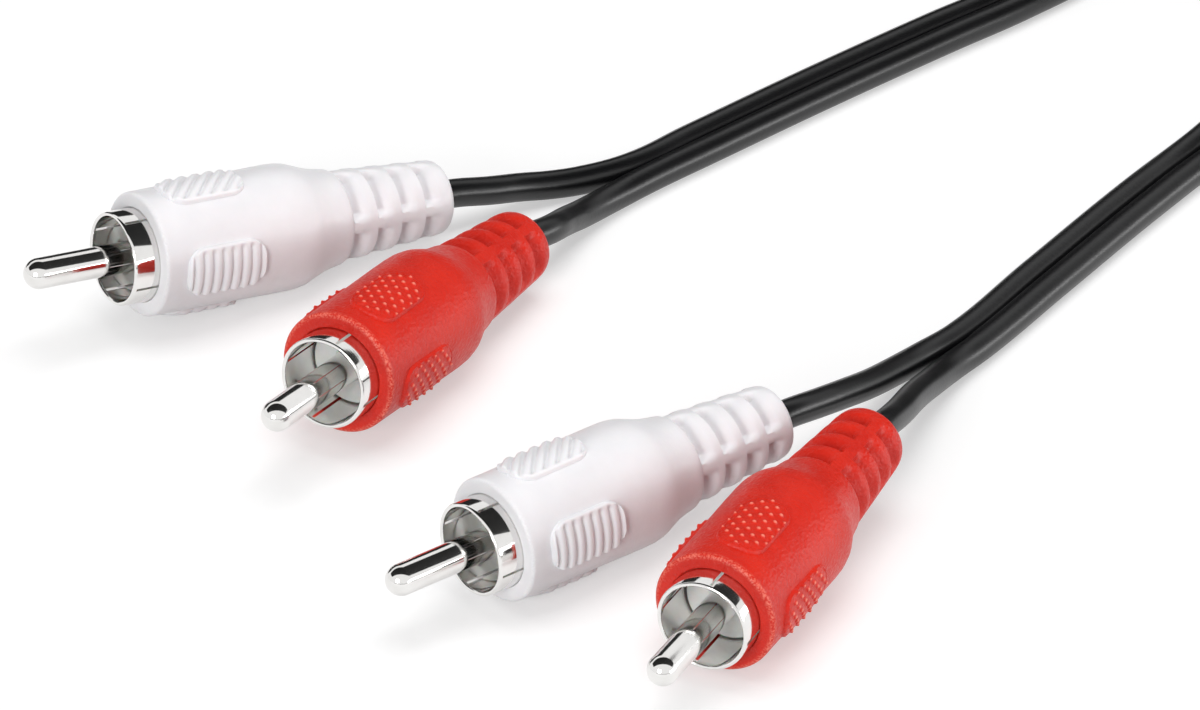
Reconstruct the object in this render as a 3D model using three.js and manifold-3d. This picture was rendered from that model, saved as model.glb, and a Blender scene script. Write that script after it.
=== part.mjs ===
// A stereo RCA audio cable: a white and a red phono plug on each end of a black twin lead.
// Millimetres, +Z up. The origin is on the surface it lies on, under the middle of the four plugs.
import * as THREE from "three";
import { mergeVertices } from "three/addons/utils/BufferGeometryUtils.js";
import Module from "manifold-3d";

const wasm = await Module();
wasm.setup();

// Plug sizes along the axis, from the rim of the collar towards the cord
const pinReach = 10.4;
const collarProud = 2.8;
const contactDepth = 5.3;
const bodyLength = 18;
const shoulderLength = 4.6;
const reliefLength = 12.6;

// Pin
const pinDiameter = 3.2;
const pinStep = 1.9;
const shankDiameter = 2.2;
const solderCupLength = 2.6;
const solderCupBore = 1.4;

// Collar, a stamped tube with a narrower neck behind it
const collarDiameter = 9.6;
const collarWall = 0.45;
const collarLength = 9;
const neckDiameter = 6.4;
const neckLength = 6;
const slitWidth = 0.3;
const slitLength = 7.4;
const slitCount = 4;

// Insulator
const insulatorTail = 1;

// Moulded housing
const bodyDiameter = 13;
const noseBevel = 0.5;
const shoulderRound = 1.6;
const reliefFrontDiameter = 9.5;
const reliefRearDiameter = 7.6;
const reliefStep = 0.2;
const reliefRound = 0.8;
const housingWall = 0.9;

// Slots of the strain relief
const slotRows = 4;
const slotPitch = 2.93;
const slotLength = 1.8;
const slotDepth = 1.25;
const webWidth = 1.9;
const websAround = 4;
const webTurns = { white: -9, red: 18 };

// Grip pads round the housing
const padCount = 4;
const padLength = 9.1;
const padWidth = 5.4;
const padCorner = 2.1;
const padSetback = 2.3;
const padProud = 0.45;

// Cord and what is left of it inside a plug
const strandDiameter = 3;
const strandSpacing = 3;
const webThickness = 1;
const jacketInside = 11;
const screenWall = 0.35;
const screenOverNeck = 4;
const coreDiameter = 1.9;
const wireDiameter = 0.9;
const stripLength = 2.4;

// Fits
const clearance = 0.15;
const cordGap = 0.3;

// Coil of spare cord, which lies outside the photograph, with the twin lead on edge
const coilCentre = new THREE.Vector2(114.6, 115.5);
const coilInnerRadius = 28.75;
const coilTurnPitch = 3.1;
const coilTurnsInLayer = 2.7;
const coilLayers = 2;
const coilLayerPitch = 6.1;

// Round pieces are faceted with this many sides
const bodySides = 16;
const tubeSides = 20;
const smallSides = 12;
const coilSides = 32;
const leadSteps = 16;

// Where the plugs lie: the rim of each collar, and the turn of each plug in degrees
const plugs = [
  { name: "white_a", colour: "white", rim: [-34.8, 26.4], yaw: 31.0, droop: 6.3, roll: -3, collarTurn: 19 },
  { name: "red_a", colour: "red", rim: [-13.3, 3.1], yaw: 59.3, droop: 5.2, roll: 13, collarTurn: 2 },
  { name: "white_b", colour: "white", rim: [1.5, -25.6], yaw: 39.0, droop: 0, roll: -8, collarTurn: 19 },
  { name: "red_b", colour: "red", rim: [23.8, -39.3], yaw: 63.8, droop: 0, roll: 8, collarTurn: 2 },
];

// The cord's route, chosen by hand: legs from each plug, then the middle of the twin lead, flat on
// the surface, and last its way to the coil, with its height and how far it has turned on edge
const leads = [
  {
    name: "twin_lead_a",
    legs: {
      white_a: [[2.9, 49.0, 2.7], [5.9, 51.2, 1.9], [9.0, 52.6, 1.6], [12.1, 54.1, 1.5]],
      red_a: [[9.2, 39.6, 3.9], [10.6, 42.6, 2.8], [12.2, 45.8, 1.9], [15.1, 49.7, 1.5]],
    },
    twin: [[18.2, 55.5], [24.4, 61.3], [37.0, 73.0], [49.7, 84.3], [57.7, 91.2]],
    toCoil: [[65.1, 98.6, 1.9, 15], [71.3, 107.0, 2.6, 45], [76.1, 117.0, 3.0, 75], [79.7, 128.2, 3.0, 90]],
  },
  {
    name: "twin_lead_b",
    legs: {
      white_b: [[35.8, 3.2, 6.0], [38.4, 6.6, 5.0], [40.9, 10.2, 3.9], [43.5, 14.4, 2.8], [46.0, 18.2, 2.0]],
      red_b: [[43.7, 2.1, 5.2], [45.4, 7.4, 3.6], [47.2, 12.4, 2.3], [49.1, 16.6, 1.7]],
    },
    twin: [[51.2, 22.4], [59.1, 34.5], [69.8, 50.7], [76.0, 59.4]],
    toCoil: [[82.5, 66.9, 2.6, 45], [91.0, 71.2, 4.9, 80], [101.2, 73.6, 7.9, 90], [124.2, 79.7, 9.1, 90]],
  },
];

const materials = {
  white: { color: "#e9e7ea", roughness: 0.42, metalness: 0 },
  red: { color: "#d42016", roughness: 0.42, metalness: 0 },
  nickel: { color: "#d4d4d6", roughness: 0.12, metalness: 1 },
  nylon: { color: "#dcdcda", roughness: 0.5, metalness: 0 },
  copper: { color: "#b87046", roughness: 0.35, metalness: 1 },
  polythene: { color: "#dfe3df", roughness: 0.6, metalness: 0 },
  cord: { color: "#0c0c0d", roughness: 0.45, metalness: 0 },
};

const radians = THREE.MathUtils.degToRad;

// Places along a plug's axis
const faceY = collarProud;
const bodyEndY = faceY + bodyLength;
const reliefY = bodyEndY + shoulderLength;
const rearY = reliefY + reliefLength;
const collarEndY = collarLength;
const neckEndY = collarEndY + neckLength;
const insulatorEndY = neckEndY + insulatorTail;
const shankEndY = insulatorEndY + solderCupLength;
const jacketY = rearY - jacketInside;
const padMiddleY = faceY + padSetback + padLength / 2;
const padEndY = padMiddleY + padLength / 2;
const straightEndY = bodyEndY - shoulderRound;
const padRadius = bodyDiameter / 2 + padProud;

function toSolid(geometry) {
  const plain = geometry.clone();
  plain.deleteAttribute("normal");
  plain.deleteAttribute("uv");
  const merged = mergeVertices(plain, 1e-4);
  const corners = merged.index.array;
  const triVerts = [];
  for (let i = 0; i < corners.length; i += 3) {
    const [a, b, c] = corners.slice(i, i + 3);
    if (a !== b && b !== c && c !== a) triVerts.push(a, b, c);
  }
  return new wasm.Manifold(
    new wasm.Mesh({
      numProp: 3,
      vertProperties: merged.attributes.position.array,
      triVerts: new Uint32Array(triVerts),
    }),
  );
}

function toGeometry(solid) {
  const { vertProperties, triVerts } = solid.getMesh();
  const geometry = new THREE.BufferGeometry();
  geometry.setAttribute("position", new THREE.BufferAttribute(vertProperties, 3));
  geometry.setIndex(new THREE.BufferAttribute(triVerts, 1));
  geometry.computeVertexNormals();
  return geometry;
}

function union(solids) {
  return solids.reduce((all, one) => all.add(one));
}

// A solid turned from [radius, y] points; a profile that leaves the axis closes on itself
function turned(points, sides) {
  const profile = points.map(([r, y]) => new THREE.Vector2(r, y));
  const first = profile[0];
  const last = profile[profile.length - 1];
  if (first.x > 0 || last.x > 0) profile.push(first.clone());
  return toSolid(new THREE.LatheGeometry(profile, sides));
}

function tubeBetween(innerRadius, outerRadius, fromY, toY, sides) {
  return turned([[outerRadius, fromY], [outerRadius, toY], [innerRadius, toY], [innerRadius, fromY]], sides);
}

// Points of a rounded corner in a profile, from one angle to another in degrees
function arcPoints(centreR, centreY, radius, fromAngle, toAngle, steps) {
  return Array.from({ length: steps + 1 }, (_, i) => {
    const angle = radians(THREE.MathUtils.lerp(fromAngle, toAngle, i / steps));
    return [centreR + radius * Math.cos(angle), centreY + radius * Math.sin(angle)];
  });
}

// Pin: a domed contact with a thinner shank and a solder cup at its end
function pinSolid() {
  const radius = pinDiameter / 2;
  const shank = shankDiameter / 2;
  const cup = solderCupBore / 2;
  const stepY = contactDepth + pinStep;
  return turned(
    [
      [0, -pinReach],
      ...arcPoints(0, radius - pinReach, radius, -66, 0, 3),
      [radius, stepY],
      [shank, stepY],
      [shank, shankEndY],
      [cup, shankEndY],
      [cup, shankEndY - solderCupLength],
      [0, shankEndY - solderCupLength],
    ],
    smallSides,
  );
}

// Collar: a stamped tube with four slits, stepped in to the neck that the screen is crimped on
function collarSolid() {
  const outer = collarDiameter / 2;
  const inner = outer - collarWall;
  const neck = neckDiameter / 2;
  const shell = turned(
    [
      [inner, collarWall / 2],
      ...arcPoints(outer - collarWall / 2, collarWall / 2, collarWall / 2, -180, 0, 2).slice(1),
      [outer, collarEndY],
      [neck, collarEndY],
      [neck, neckEndY],
      [neck - collarWall, neckEndY],
      [neck - collarWall, collarEndY - collarWall],
      [inner, collarEndY - collarWall],
    ],
    tubeSides,
  );
  const slits = Array.from({ length: slitCount / 2 }, (_, i) => {
    const slit = new THREE.BoxGeometry(slitWidth, slitLength * 2, collarDiameter + 2);
    slit.rotateY((i * 2 * Math.PI) / slitCount);
    return toSolid(slit);
  });
  return shell.subtract(union(slits));
}

// Insulator: a stepped bush that holds the pin in the collar
function insulatorSolid() {
  const frontRadius = collarDiameter / 2 - collarWall - clearance;
  const neckRadius = neckDiameter / 2 - collarWall - clearance;
  const pinBore = pinDiameter / 2 + clearance;
  const shankBore = shankDiameter / 2 + clearance;
  const frontEndY = collarEndY - collarWall - clearance;
  const stepY = contactDepth + pinStep + clearance;
  return turned(
    [
      [pinBore, contactDepth],
      [frontRadius, contactDepth],
      [frontRadius, frontEndY],
      [neckRadius, frontEndY],
      [neckRadius, insulatorEndY],
      [shankBore, insulatorEndY],
      [shankBore, stepY],
      [pinBore, stepY],
    ],
    smallSides,
  );
}

// Screen: the braid, opened over the neck of the collar and narrowing to the cord
function screenSolid() {
  const wide = neckDiameter / 2 + clearance;
  const narrow = coreDiameter / 2 + clearance;
  const wideY = neckEndY - screenOverNeck;
  const coneY = insulatorEndY + clearance;
  const coneEndY = shankEndY + stripLength;
  const endY = jacketY - cordGap;
  return turned(
    [
      [wide, wideY],
      [wide + screenWall, wideY],
      [wide + screenWall, coneY],
      [narrow + screenWall, coneEndY],
      [narrow + screenWall, endY],
      [narrow, endY],
      [narrow, coneEndY],
      [wide, coneY],
    ],
    smallSides,
  );
}

// Core: the polythene round the wire, and the wire that is soldered into the pin's cup
function coreSolid() {
  const endY = jacketY - cordGap;
  const bore = wireDiameter / 2 + clearance;
  return tubeBetween(bore, coreDiameter / 2, shankEndY + cordGap, endY, smallSides);
}

function wireSolid() {
  const fromY = shankEndY - solderCupLength + clearance;
  const radius = wireDiameter / 2;
  return turned([[0, fromY], [radius, fromY], [radius, jacketY - cordGap], [0, jacketY - cordGap]], smallSides);
}

// Outside of the housing from nose to cord end, with the stepped bore that the inner pieces fill
function housingBody() {
  const body = bodyDiameter / 2;
  const reliefFront = reliefFrontDiameter / 2;
  const reliefRear = reliefRearDiameter / 2;
  const collarBore = collarDiameter / 2 + clearance;
  const screenBore = neckDiameter / 2 + screenWall + 2 * clearance;
  const cordBore = strandDiameter / 2 + clearance;
  const narrowY = shankEndY + stripLength + clearance;
  const taperSlope = (body - reliefFront) / shoulderLength;
  return turned(
    [
      [collarBore, faceY],
      [body - noseBevel, faceY],
      ...arcPoints(body - noseBevel, faceY + noseBevel, noseBevel, -60, 0, 2),
      [body, straightEndY],
      [body - taperSlope * shoulderRound * 0.35, bodyEndY],
      [body - taperSlope * shoulderRound * 1.6, bodyEndY + shoulderRound],
      [reliefFront + reliefStep, reliefY - reliefStep],
      [reliefFront, reliefY],
      [reliefRear, rearY - reliefRound],
      ...arcPoints(reliefRear - reliefRound, rearY - reliefRound, reliefRound, 30, 90, 2),
      [cordBore, rearY],
      [cordBore, narrowY],
      [screenBore, insulatorEndY],
      [screenBore, collarEndY + clearance],
      [collarBore, collarEndY + clearance],
    ],
    bodySides,
  );
}

// Rows of slots with a steep front wall and a floor that rises to the rear
function reliefSlots(webTurn) {
  const reach = bodyDiameter / 2;
  const rows = Array.from({ length: slotRows }, (_, i) => {
    const y = reliefY + i * slotPitch;
    const share = (y - reliefY) / reliefLength;
    const outer = THREE.MathUtils.lerp(reliefFrontDiameter, reliefRearDiameter, share) / 2;
    const slope = slotLength / slotDepth;
    return turned(
      [[outer - slotDepth, y], [reach, y], [reach, y + slotLength + slope * (reach - outer)]],
      bodySides,
    );
  });
  const webs = Array.from({ length: websAround / 2 }, (_, i) => {
    const web = new THREE.BoxGeometry(webWidth, reliefLength * 3, bodyDiameter * 2);
    web.translate(0, rearY, 0);
    web.rotateY((i * 2 * Math.PI) / websAround + radians(webTurn));
    return toSolid(web);
  });
  return union(rows).subtract(union(webs));
}

function roundedOutline(width, length, corner) {
  const x = width / 2;
  const y = length / 2;
  const outline = new THREE.Shape();
  outline.absarc(x - corner, y - corner, corner, 0, Math.PI / 2);
  outline.absarc(corner - x, y - corner, corner, Math.PI / 2, Math.PI);
  outline.absarc(corner - x, corner - y, corner, Math.PI, 1.5 * Math.PI);
  outline.absarc(x - corner, corner - y, corner, 1.5 * Math.PI, 2 * Math.PI);
  return outline;
}

// Grip pad: a patch with rounded ends that follows the housing, a little proud of it
function gripPad() {
  const patch = new THREE.ExtrudeGeometry(roundedOutline(padWidth, padLength, padCorner), {
    depth: bodyDiameter / 2,
    bevelEnabled: false,
    curveSegments: 2,
  });
  patch.translate(0, padMiddleY, bodyDiameter / 2 - housingWall);
  const drum = tubeBetween(bodyDiameter / 2 - housingWall / 2, padRadius, faceY, bodyEndY, bodySides);
  return drum.intersect(toSolid(patch));
}

function housingSolid(colour) {
  const pad = gripPad();
  const pads = Array.from({ length: padCount }, (_, i) => pad.rotate([0, (i * 360) / padCount, 0]));
  return union([housingBody(), ...pads]).subtract(reliefSlots(webTurns[colour]));
}

function meshOf(name, solid, material) {
  const mesh = new THREE.Mesh(
    toGeometry(solid),
    new THREE.MeshStandardMaterial({ ...materials[material], flatShading: true }),
  );
  mesh.name = name;
  return mesh;
}

// One plug with its pieces round the local Y axis, pin first
function plugGroup({ name, colour, rim, yaw, droop, roll, collarTurn }) {
  const group = new THREE.Group();
  const tilt = radians(droop);
  const restHeight = Math.max(
    padRadius * Math.cos(tilt) + padEndY * Math.sin(tilt),
    (bodyDiameter / 2) * Math.cos(tilt) + straightEndY * Math.sin(tilt),
  );
  group.position.set(rim[0], rim[1], restHeight);
  group.rotation.set(-tilt, radians(roll), radians(yaw - 90), "ZXY");
  const collar = meshOf(`${name}_collar`, collarSolid(), "nickel");
  collar.rotation.y = radians(collarTurn);
  group.add(
    meshOf(`${name}_housing`, housingSolid(colour), colour),
    collar,
    meshOf(`${name}_insulator`, insulatorSolid(), "nylon"),
    meshOf(`${name}_pin`, pinSolid(), "nickel"),
    meshOf(`${name}_screen`, screenSolid(), "copper"),
    meshOf(`${name}_core`, coreSolid(), "polythene"),
    meshOf(`${name}_wire`, wireSolid(), "copper"),
  );
  group.updateMatrixWorld(true);
  return group;
}

function tubeAlong(points, steps) {
  const section = new THREE.Shape();
  section.absarc(0, 0, strandDiameter / 2, 0, 2 * Math.PI);
  const tube = new THREE.ExtrudeGeometry(section, {
    steps,
    extrudePath: new THREE.CatmullRomCurve3(points, false, "centripetal"),
    curveSegments: 6,
  });
  return toSolid(tube);
}

// The twin lead's middle points moved sideways, to the left of its run for a positive offset,
// and upwards where the lead turns on edge
function besideTwin(twin, offset) {
  return twin.map(([x, y, z = strandDiameter / 2, turn = 0], i) => {
    const [fromX, fromY] = twin[Math.max(i - 1, 0)];
    const [toX, toY] = twin[Math.min(i + 1, twin.length - 1)];
    const side = new THREE.Vector2(fromY - toY, toX - fromX).setLength(offset * Math.cos(radians(turn)));
    return new THREE.Vector3(x + side.x, y + side.y, z + offset * Math.sin(radians(turn)));
  });
}

function webSolid(twin) {
  const left = besideTwin(twin, strandSpacing / 2);
  const right = besideTwin(twin, -strandSpacing / 2).reverse();
  const outline = new THREE.Shape(
    [
      ...new THREE.CatmullRomCurve3(left, false, "centripetal").getPoints(leadSteps),
      ...new THREE.CatmullRomCurve3(right, false, "centripetal").getPoints(leadSteps),
    ].map(({ x, y }) => new THREE.Vector2(x, y)),
  );
  const web = new THREE.ExtrudeGeometry(outline, { depth: webThickness, bevelEnabled: false });
  web.translate(0, 0, (strandDiameter - webThickness) / 2);
  return toSolid(web);
}

function coilProfile(gap) {
  const inner = coilInnerRadius - strandDiameter / 2 - gap;
  const outer = coilInnerRadius + coilTurnsInLayer * coilTurnPitch + strandDiameter / 2 + gap;
  const height = coilLayers * coilLayerPitch;
  const corner = strandDiameter / 2;
  return { inner, outer, height, corner };
}

// The coil's outer shape, a ring with rounded upper corners that lies flat
function coilSolid(gap) {
  const { inner, outer, height, corner } = coilProfile(gap);
  const ring = turned(
    [
      [inner, -gap],
      [outer, -gap],
      ...arcPoints(outer - corner, height + gap - corner, corner, 0, 90, 2),
      ...arcPoints(inner + corner, height + gap - corner, corner, 90, 180, 2),
    ],
    coilSides,
  );
  return ring.rotate([90, 0, 0]).translate([coilCentre.x, coilCentre.y, 0]);
}

// The straight end of a strand, held in the bore of its housing
function jacketEnd() {
  const radius = strandDiameter / 2;
  const toY = rearY + radius;
  return turned([[0, jacketY], [radius, jacketY], [radius, toY], [0, toY]], 8);
}

// A lead: two strands from its plugs, joined by a web where they run together, up to the coil
function leadSolid({ legs, twin, toCoil }, groups) {
  const strands = Object.entries(legs).map(([plugName, leg], i) => {
    const plug = groups[plugName];
    const exit = plug.localToWorld(new THREE.Vector3(0, rearY, 0));
    const beyond = plug.localToWorld(new THREE.Vector3(0, rearY + strandDiameter / 2, 0));
    const legPoints = leg.map((point) => new THREE.Vector3(...point));
    const offset = (i === 0 ? 1 : -1) * (strandSpacing / 2);
    const joined = besideTwin([...twin, ...toCoil], offset);
    const loose = tubeAlong([exit, beyond, ...legPoints, ...joined], leadSteps);
    return jacketEnd().transform(plug.matrixWorld.elements).add(loose);
  });
  return union([...strands, webSolid(twin)]).subtract(coilSolid(cordGap));
}

const cable = new THREE.Group();
const groups = {};
for (const plug of plugs) {
  groups[plug.name] = plugGroup(plug);
  cable.add(groups[plug.name]);
}
for (const lead of leads) {
  cable.add(meshOf(lead.name, leadSolid(lead, groups), "cord"));
}
cable.add(meshOf("lead_coil", coilSolid(0), "cord"));

export default cable;
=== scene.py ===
import math

import bmesh
import bpy
from mathutils import Matrix, Vector


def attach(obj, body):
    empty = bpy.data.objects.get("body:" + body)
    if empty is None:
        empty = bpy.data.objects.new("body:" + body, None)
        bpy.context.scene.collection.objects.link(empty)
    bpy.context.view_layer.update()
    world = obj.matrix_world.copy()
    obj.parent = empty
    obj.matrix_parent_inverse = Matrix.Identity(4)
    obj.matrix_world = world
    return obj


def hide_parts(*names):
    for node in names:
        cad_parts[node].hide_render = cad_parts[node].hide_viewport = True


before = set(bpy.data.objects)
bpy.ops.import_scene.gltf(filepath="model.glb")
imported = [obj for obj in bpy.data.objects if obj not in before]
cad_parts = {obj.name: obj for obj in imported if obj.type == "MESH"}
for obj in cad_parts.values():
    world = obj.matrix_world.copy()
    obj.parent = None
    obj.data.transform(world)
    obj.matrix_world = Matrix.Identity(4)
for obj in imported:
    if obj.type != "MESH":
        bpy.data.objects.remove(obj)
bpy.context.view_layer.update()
bpy.ops.object.select_all(action="DESELECT")


# Camera: a long lens that looks down on the plugs from the front, as a catalogue picture of the
# cable does. It stands over a metre away, so that the far pair looks nearly as large as the near one.
view_elevation = math.radians(31.4)
view_distance = 1.2
view_target = Vector((0.0141, 0.022, 0))
view_back = Vector((0, -math.cos(view_elevation), math.sin(view_elevation)))
bpy.ops.object.camera_add(
    location=view_target + view_back * view_distance,
    rotation=(math.pi / 2 - view_elevation, 0, 0),
)
camera = bpy.context.object
camera.name = "product_camera"
camera.data.sensor_width = 36
camera.data.lens = 358.9
bpy.context.scene.camera = camera
bpy.context.scene.view_settings.view_transform = "Standard"


# Twin lead: two strands of screened cord in black PVC, extruded side by side with a thin web
# between them. At each end the web is torn open, and each strand runs into its own plug.
# The spare length is wound on edge into a round coil of two layers, in to the middle and out again.
strand_diameter = 0.003
strand_spacing = 0.003
web_thickness = 0.001
jacket_inside = 11.0

# Plugs, in millimetres and degrees: the rim of the collar, where the plug points and how it lies
plug_places = {
    "white_a": {"rim": (-34.8, 26.4), "yaw": 31.0, "droop": 6.3, "roll": -3, "collar_turn": 19},
    "red_a": {"rim": (-13.3, 3.1), "yaw": 59.3, "droop": 5.2, "roll": 13, "collar_turn": 2},
    "white_b": {"rim": (1.5, -25.6), "yaw": 39.0, "droop": 0, "roll": -8, "collar_turn": 19},
    "red_b": {"rim": (23.8, -39.3), "yaw": 63.8, "droop": 0, "roll": 8, "collar_turn": 2},
}
body_radius = 6.5
straight_end = 19.2
pad_top_radius = 6.95
pad_end = 14.2
rear_end = 38.0


def plug_frame(place):
    """Where a plug lies: its local Y runs along the axis, from the rim of the collar to the cord."""
    droop = math.radians(place["droop"])
    height = max(
        pad_top_radius * math.cos(droop) + pad_end * math.sin(droop),
        body_radius * math.cos(droop) + straight_end * math.sin(droop),
    )
    turn = Matrix.Rotation(math.radians(place["yaw"] - 90), 4, "Z")
    tilt = Matrix.Rotation(-droop, 4, "X")
    roll = Matrix.Rotation(math.radians(place["roll"]), 4, "Y")
    return Matrix.Translation(Vector((*place["rim"], height)) / 1000) @ turn @ tilt @ roll


plug_frames = {name: plug_frame(place) for name, place in plug_places.items()}

# Each strand from its housing to where the web begins, in millimetres
strand_legs = {
    "white_a": [(2.9, 49.0, 3.2), (5.9, 51.0, 2.4), (9.0, 52.5, 1.8), (12.3, 54.0, 1.5)],
    "red_a": [(9.1, 39.8, 4.1), (10.5, 42.8, 3.2), (12.3, 46.1, 2.2), (15.1, 50.0, 1.6)],
    "white_b": [
        (35.8, 3.2, 6.0), (38.4, 6.6, 5.0), (40.9, 10.2, 3.9), (43.5, 14.4, 2.8), (46.0, 18.2, 2.0),
    ],
    "red_b": [(43.6, 2.2, 5.5), (45.3, 7.6, 4.1), (47.2, 12.6, 2.7), (49.2, 16.8, 1.8)],
}

# The middle of the twin lead on its way to the coil: x, y, height, and how far it has turned on edge
twin_ends = {
    "a": [
        (18.2, 55.5, 1.5, 0), (24.4, 61.3, 1.5, 0), (37.0, 73.0, 1.5, 0), (49.7, 84.3, 1.5, 0),
        (57.7, 91.2, 1.5, 0), (65.1, 98.6, 1.9, 15), (71.3, 107.0, 2.6, 45), (76.1, 117.0, 3.0, 75),
    ],
    "b": [
        (51.2, 22.4, 1.5, 0), (59.1, 34.5, 1.5, 0), (69.8, 50.7, 1.5, 0), (76.0, 59.4, 1.5, 0),
        (82.5, 66.9, 2.2, 28), (91.0, 71.2, 4.6, 75), (101.2, 73.6, 7.9, 90),
    ],
}

# Coil: it starts outside on the surface, winds in, steps up and winds out again on top
coil_centre = (114.6, 115.5)
coil_inner_radius = 28.75
coil_turn_pitch = 3.1
coil_layer_heights = (3.0, 9.1)
coil_first_angle = 160
coil_layer_turning = 972
coil_step_turning = 90
coil_station_turning = 20


def coil_station(turned):
    """The middle of the twin lead after the coil has turned through so many degrees."""
    left_to_step = max(coil_layer_turning - turned, 0)
    since_step = max(turned - coil_layer_turning - coil_step_turning, 0)
    radius = coil_inner_radius + coil_turn_pitch * (left_to_step + since_step) / 360
    share = min(max((turned - coil_layer_turning) / coil_step_turning, 0), 1)
    low, high = coil_layer_heights
    height = low + (high - low) * share * share * (3 - 2 * share)
    angle = math.radians(coil_first_angle - turned)
    x = coil_centre[0] + radius * math.cos(angle)
    y = coil_centre[1] + radius * math.sin(angle)
    return (x, y, height, 90)


# From pair a through the coil to pair b the lead turns on edge and on, half round in all,
# and that brings each colour round to its own plug
coil_turning = 2 * coil_layer_turning + coil_step_turning
twin_stations = list(twin_ends["a"])
for i in range(coil_turning // coil_station_turning + 1):
    twin_stations.append(coil_station(i * coil_station_turning))
for x, y, height, turn in reversed(twin_ends["b"]):
    twin_stations.append((x, y, height, 180 - turn))
twin_middles = [Vector(station[:3]) for station in twin_stations]
twin_turns = [math.radians(station[3]) for station in twin_stations]


def strand_beside(side_of_run):
    """One strand's points along the twin, on the left of its run for +1 and the right for -1."""
    points = []
    for i, (middle, turn) in enumerate(zip(twin_middles, twin_turns)):
        ahead = twin_middles[min(i + 1, len(twin_middles) - 1)] - twin_middles[max(i - 1, 0)]
        left = Vector((-ahead.y, ahead.x, 0)).normalized()
        up = Vector((0, 0, 1))
        reach = side_of_run * strand_spacing * 500
        points.append(middle + (left * math.cos(turn) + up * math.sin(turn)) * reach)
    return points


def plug_points(name):
    """A strand's points from inside its plug out to where the web begins."""
    inside = [rear_end - jacket_inside, rear_end, rear_end + 1.5]
    straight = [plug_frames[name] @ Vector((0, y / 1000, 0)) * 1000 for y in inside]
    return straight + [Vector(point) for point in strand_legs[name]]


def laid_curve(name, points):
    """A curve of one open spline through points in millimetres."""
    bpy.ops.object.select_all(action="DESELECT")
    bpy.ops.curve.primitive_bezier_curve_add(enter_editmode=False, location=(0, 0, 0))
    piece = bpy.context.object
    piece.name = name
    shape = piece.data
    shape.splines.clear()
    spline = shape.splines.new("BEZIER")
    spline.bezier_points.add(len(points) - 1)
    for knot, point in zip(spline.bezier_points, points):
        knot.co = point / 1000
        knot.handle_left_type = "AUTO"
        knot.handle_right_type = "AUTO"
    shape.dimensions = "3D"
    shape.use_fill_caps = True
    return piece


strands = {}
for colour, side_of_run in (("white", 1), ("red", -1)):
    route = plug_points(f"{colour}_a") + strand_beside(side_of_run) + plug_points(f"{colour}_b")[::-1]
    strand = laid_curve(f"{colour}_plugs_strand", route)
    strand.data.bevel_depth = strand_diameter / 2
    strand.data.bevel_resolution = 5
    strand.data.resolution_u = 8
    strands[colour] = strand

web = laid_curve("strand_web", twin_middles)
web.data.twist_mode = "Z_UP"
web.data.extrude = strand_spacing / 2 - web_thickness / 2
web.data.bevel_depth = web_thickness / 2
web.data.bevel_resolution = 1
web.data.resolution_u = 8
for knot, turn in zip(web.data.splines[0].bezier_points, twin_turns):
    knot.tilt = math.pi / 2 + turn

# The jacket is satin black, with a faint orange peel and soft patches of tone and gloss
cord_black = bpy.data.materials.new("black_pvc")
cord_black.use_nodes = True
cord_nodes = cord_black.node_tree.nodes
cord_links = cord_black.node_tree.links
cord_shader = cord_nodes["Principled BSDF"]
cord_shader.inputs["Specular IOR Level"].default_value = 0.55
cord_place = cord_nodes.new("ShaderNodeTexCoord")
peel = cord_nodes.new("ShaderNodeTexNoise")
peel.inputs["Scale"].default_value = 2600
peel.inputs["Detail"].default_value = 3
cord_links.new(cord_place.outputs["Object"], peel.inputs["Vector"])
handling = cord_nodes.new("ShaderNodeTexNoise")
handling.inputs["Scale"].default_value = 180
handling.inputs["Detail"].default_value = 5
cord_links.new(cord_place.outputs["Object"], handling.inputs["Vector"])
black_range = cord_nodes.new("ShaderNodeValToRGB")
black_range.color_ramp.elements[0].color = (0.0014, 0.0014, 0.0018, 1)
black_range.color_ramp.elements[1].color = (0.0035, 0.0035, 0.004, 1)
cord_links.new(handling.outputs["Fac"], black_range.inputs["Fac"])
cord_links.new(black_range.outputs["Color"], cord_shader.inputs["Base Color"])
satin_range = cord_nodes.new("ShaderNodeMapRange")
satin_range.inputs["To Min"].default_value = 0.28
satin_range.inputs["To Max"].default_value = 0.36
cord_links.new(handling.outputs["Fac"], satin_range.inputs["Value"])
cord_links.new(satin_range.outputs["Result"], cord_shader.inputs["Roughness"])
peel_bump = cord_nodes.new("ShaderNodeBump")
peel_bump.inputs["Strength"].default_value = 0.35
peel_bump.inputs["Distance"].default_value = 0.00004
cord_links.new(peel.outputs["Fac"], peel_bump.inputs["Height"])
cord_links.new(peel_bump.outputs["Normal"], cord_shader.inputs["Normal"])

for piece in (*strands.values(), web):
    piece.data.materials.append(cord_black)
    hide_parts("twin_lead_a", "twin_lead_b", "lead_coil")
    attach(piece, "root")


# Wire and core: a copper wire in cloudy polythene runs up the middle of each strand. Its end is
# soldered into the pin's cup. Both stay inside the housing, where the moulding covers them.
wire_copper = bpy.data.materials.new("bare_copper")
wire_copper.use_nodes = True
copper_nodes = wire_copper.node_tree.nodes
copper_links = wire_copper.node_tree.links
copper_shader = copper_nodes["Principled BSDF"]
copper_shader.inputs["Metallic"].default_value = 1
copper_place = copper_nodes.new("ShaderNodeTexCoord")
tarnish = copper_nodes.new("ShaderNodeTexNoise")
tarnish.inputs["Scale"].default_value = 900
tarnish.inputs["Detail"].default_value = 4
copper_links.new(copper_place.outputs["Object"], tarnish.inputs["Vector"])
copper_range = copper_nodes.new("ShaderNodeValToRGB")
copper_range.color_ramp.elements[0].color = (0.42, 0.17, 0.09, 1)
copper_range.color_ramp.elements[1].color = (0.78, 0.4, 0.25, 1)
copper_links.new(tarnish.outputs["Fac"], copper_range.inputs["Fac"])
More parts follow.
